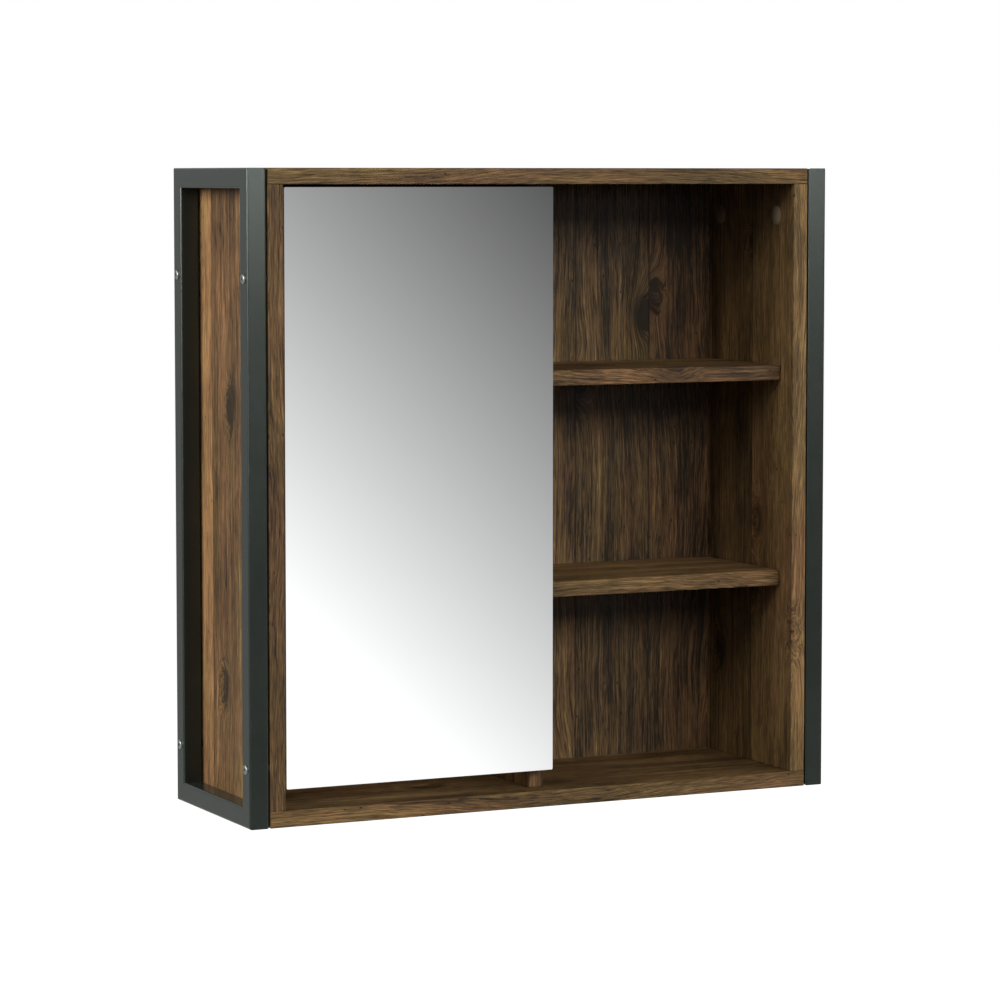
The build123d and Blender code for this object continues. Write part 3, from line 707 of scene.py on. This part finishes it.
def light_only(light, node, state):
    """Makes a light or a glowing sheet reach one part alone (INCLUDE) or all but it (EXCLUDE)."""
    receivers = bpy.data.collections.new(f"{light.name}_receivers")
    receivers.objects.link(node)
    receivers.collection_objects[0].light_linking.link_state = state
    light.light_linking.receiver_collection = receivers


def flat_sheet(name, corners, made):
    """A four-cornered sheet of the stage."""
    mesh = bpy.data.meshes.new(name)
    mesh.from_pydata(corners, [], [(0, 1, 2, 3)])
    mesh.materials.append(made)
    sheet = bpy.data.objects.new(name, mesh)
    bpy.context.collection.objects.link(sheet)
    sheet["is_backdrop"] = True
    return sheet


def floor_finish(look):
    """Pale matt floor with a faint mottle; it glows to the camera, so it reads as studio white."""
    made, work, shader = material("stage_floor")
    point, _ = object_place(work)
    mottle = work.noise(point, scale=3.0, detail=3.0)
    shade = work.mix(work.smooth(mottle, 0.3, 0.7), look.pale, (0.90, 0.90, 0.89))
    work.named(shader, Base_Color=shade, Roughness=0.8)
    seen = work.put("ShaderNodeLightPath").outputs["Is Camera Ray"]
    faint, clear = 0.1, 0.8
    glow = work.smooth(seen, 0, 1, faint, clear)
    work.named(shader, Emission_Color=(1, 1, 1), Emission_Strength=glow)
    return made


def reflection_glow_finish():
    """A glowing card that paints a graded reflection into the mirror: grey at its upper right to
    white low down and at the left.
    """
    made, work, _ = material("stage_gradient")
    middle_level, middle_x = 0.643, 1.354
    rise_per_metre_down, rise_per_metre_left = 0.455, 0.429
    darkest, brightest = 0.30, 1.03
    point, _ = object_place(work)
    x, _, z = work.parts(point)
    level = work.add(middle_level, work.times(z, -rise_per_metre_down))
    level = work.add(level, work.times(work.add(x, -middle_x), -rise_per_metre_left))
    level = work.math("MINIMUM", work.math("MAXIMUM", level, darkest), brightest)
    as_light = work.math("POWER", level, 2.2)
    glow = work.put("ShaderNodeEmission", None, as_light)
    out = work.tree.nodes["Material Output"]
    work.tree.links.new(glow.outputs[0], out.inputs["Surface"])
    return made


class CABINET_OT_stage(bpy.types.Operator):
    """Set the pale floor, the soft studio lights and the camera"""
    bl_idname = "cabinet.stage"
    bl_label = "Stage"

    def execute(self, context):
        look = context.scene.cabinet_stage
        low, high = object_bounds()
        ground = low.z - look.floor_drop
        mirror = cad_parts["mirror_glass"]
        self.set_sheets(look, ground, mirror)
        self.set_lights((low + high) / 2, mirror)
        self.set_world(context, look)
        self.set_camera(context, look)
        context.scene.view_settings.view_transform = "Standard"
        return {"FINISHED"}

    def set_sheets(self, look, ground, mirror):
        """The floor, and a glowing graded card in front that only the mirror sees, which paints the
        mirror's reflection.
        """
        far = 60.0
        corners = ((-far, -far), (far, -far), (far, far), (-far, far))
        corners = [(x, y, ground) for x, y in corners]
        floor = flat_sheet("stage_floor", corners, floor_finish(look))
        floor.visible_diffuse = False

        side, ahead, top = 3.2, -4.2, 0.10
        corners = ((-side, ground), (side, ground), (side, top), (-side, top))
        corners = [(x, ahead, z) for x, z in corners]
        # A glowing card, seen only in the mirror, that paints the graded reflection there.
        card = flat_sheet("stage_gradient_card", corners, reflection_glow_finish())
        card.visible_camera = False
        card.visible_diffuse = False
        card.visible_shadow = False
        light_only(card, mirror, "INCLUDE")

    def set_lights(self, middle, mirror):
        """Soft boxes all round; none of them shows to the camera or in the mirror."""
        lights = [
            soft_box("stage_front", (3.0, -8.0, 2.75), (3.0, 0, 2.75), (9.0, 2.2), 10.0),
            soft_box("stage_left", (-2.6, 0.1, 0.75), middle, (1.4, 1.4), 13.8),
            soft_box("stage_high", (-3.2, -3.0, 2.6), middle, (2.0, 1.6), 6.0),
            soft_box("stage_rear", (1.8, 2.6, 1.2), middle, (1.6, 1.6), 4.0),
        ]
        # Two low lights that show only as a shine, on the front of the steel and on its corner.
        shines = [
            soft_box("stage_sheen", (1.8, -8.0, 0.50), (1.8, 0, 0.50), (7.0, 0.8), 9.1),
            soft_box("stage_edge", (-3.6, -1.75, 0.40), (-0.32, -0.2, 0.40), (4.0, 0.7), 12.0),
        ]
        for light in shines:
            light.visible_diffuse = False
        # A small one inside the lower bay, for the strip of bottom board seen below the door.
        x, y, z = -0.14, -0.15, -0.47
        under = soft_box("stage_under_door", (x, y, z), (x, y, z - 0.53), (0.24, 0.06), 1.9)
        for light in (*lights, *shines, under):
            light.visible_camera = False
            light_only(light, mirror, "EXCLUDE")

    def set_world(self, context, look):
        """White behind the object, softer as a light."""
        world = bpy.data.worlds.new("stage_world")
        world.use_nodes = True
        work = Tree(world.node_tree)
        path = work.put("ShaderNodeLightPath").outputs
        height = work.parts(work.put("ShaderNodeTexCoord").outputs["Generated"])[2]
        share_from_below, strength_in_shine = 0.15, 0.44
        even = work.smooth(height, -0.25, 0.25, look.ambient * share_from_below, look.ambient)
        shine = work.times(path["Is Glossy Ray"], strength_in_shine)
        seen = work.math("MAXIMUM", path["Is Camera Ray"], shine)
        strength = work.math("MAXIMUM", seen, even)
        background = world.node_tree.nodes["Background"]
        work.named(background, Color=(1, 1, 1), Strength=strength)
        context.scene.world = world

    def set_camera(self, context, look):
        data = bpy.data.cameras.new("stage_camera")
        data.lens = look.lens
        data.sensor_width = 36
        data.shift_y = look.rise
        data.clip_end = 300
        camera = bpy.data.objects.new("stage_camera", data)
        camera.location = look.camera
        camera.rotation_euler = (math.pi / 2 - look.dip, 0, -look.heading)
        context.collection.objects.link(camera)
        context.scene.camera = camera


class CABINET_PT_panel(bpy.types.Panel):
    """The steps that finish the cabinet, in order"""
    bl_idname = "CABINET_PT_panel"
    bl_label = "Mirror cabinet"
    bl_space_type = "VIEW_3D"
    bl_region_type = "UI"
    bl_category = "Cabinet"

    def draw(self, context):
        for look in ("cabinet_decor", "cabinet_steel", "cabinet_mirror", "cabinet_stage"):
            box = self.layout.box()
            group = getattr(context.scene, look)
            for name in group.bl_rna.properties.keys()[2:]:
                box.prop(group, name)
        for operator in OPERATORS:
            self.layout.operator(operator.bl_idname)


OPERATORS = (
    CABINET_OT_boards, CABINET_OT_steel_frames, CABINET_OT_mirror, CABINET_OT_hinges,
    CABINET_OT_fittings, CABINET_OT_stage,
)
LOOKS = {
    "cabinet_decor": DecorLook, "cabinet_steel": SteelLook,
    "cabinet_mirror": MirrorLook, "cabinet_stage": StageLook,
}


def register():
    for made in (*LOOKS.values(), *OPERATORS, CABINET_PT_panel):
        bpy.utils.register_class(made)
    for name, look in LOOKS.items():
        setattr(bpy.types.Scene, name, bpy.props.PointerProperty(type=look))


def unregister():
    for name in LOOKS:
        delattr(bpy.types.Scene, name)
    for made in (CABINET_PT_panel, *reversed(OPERATORS), *reversed(LOOKS.values())):
        bpy.utils.unregister_class(made)


def main():
    register()
    for operator in OPERATORS:
        group, step = operator.bl_idname.split(".")
        getattr(getattr(bpy.ops, group), step)()


if __name__ == "__main__":
    main()
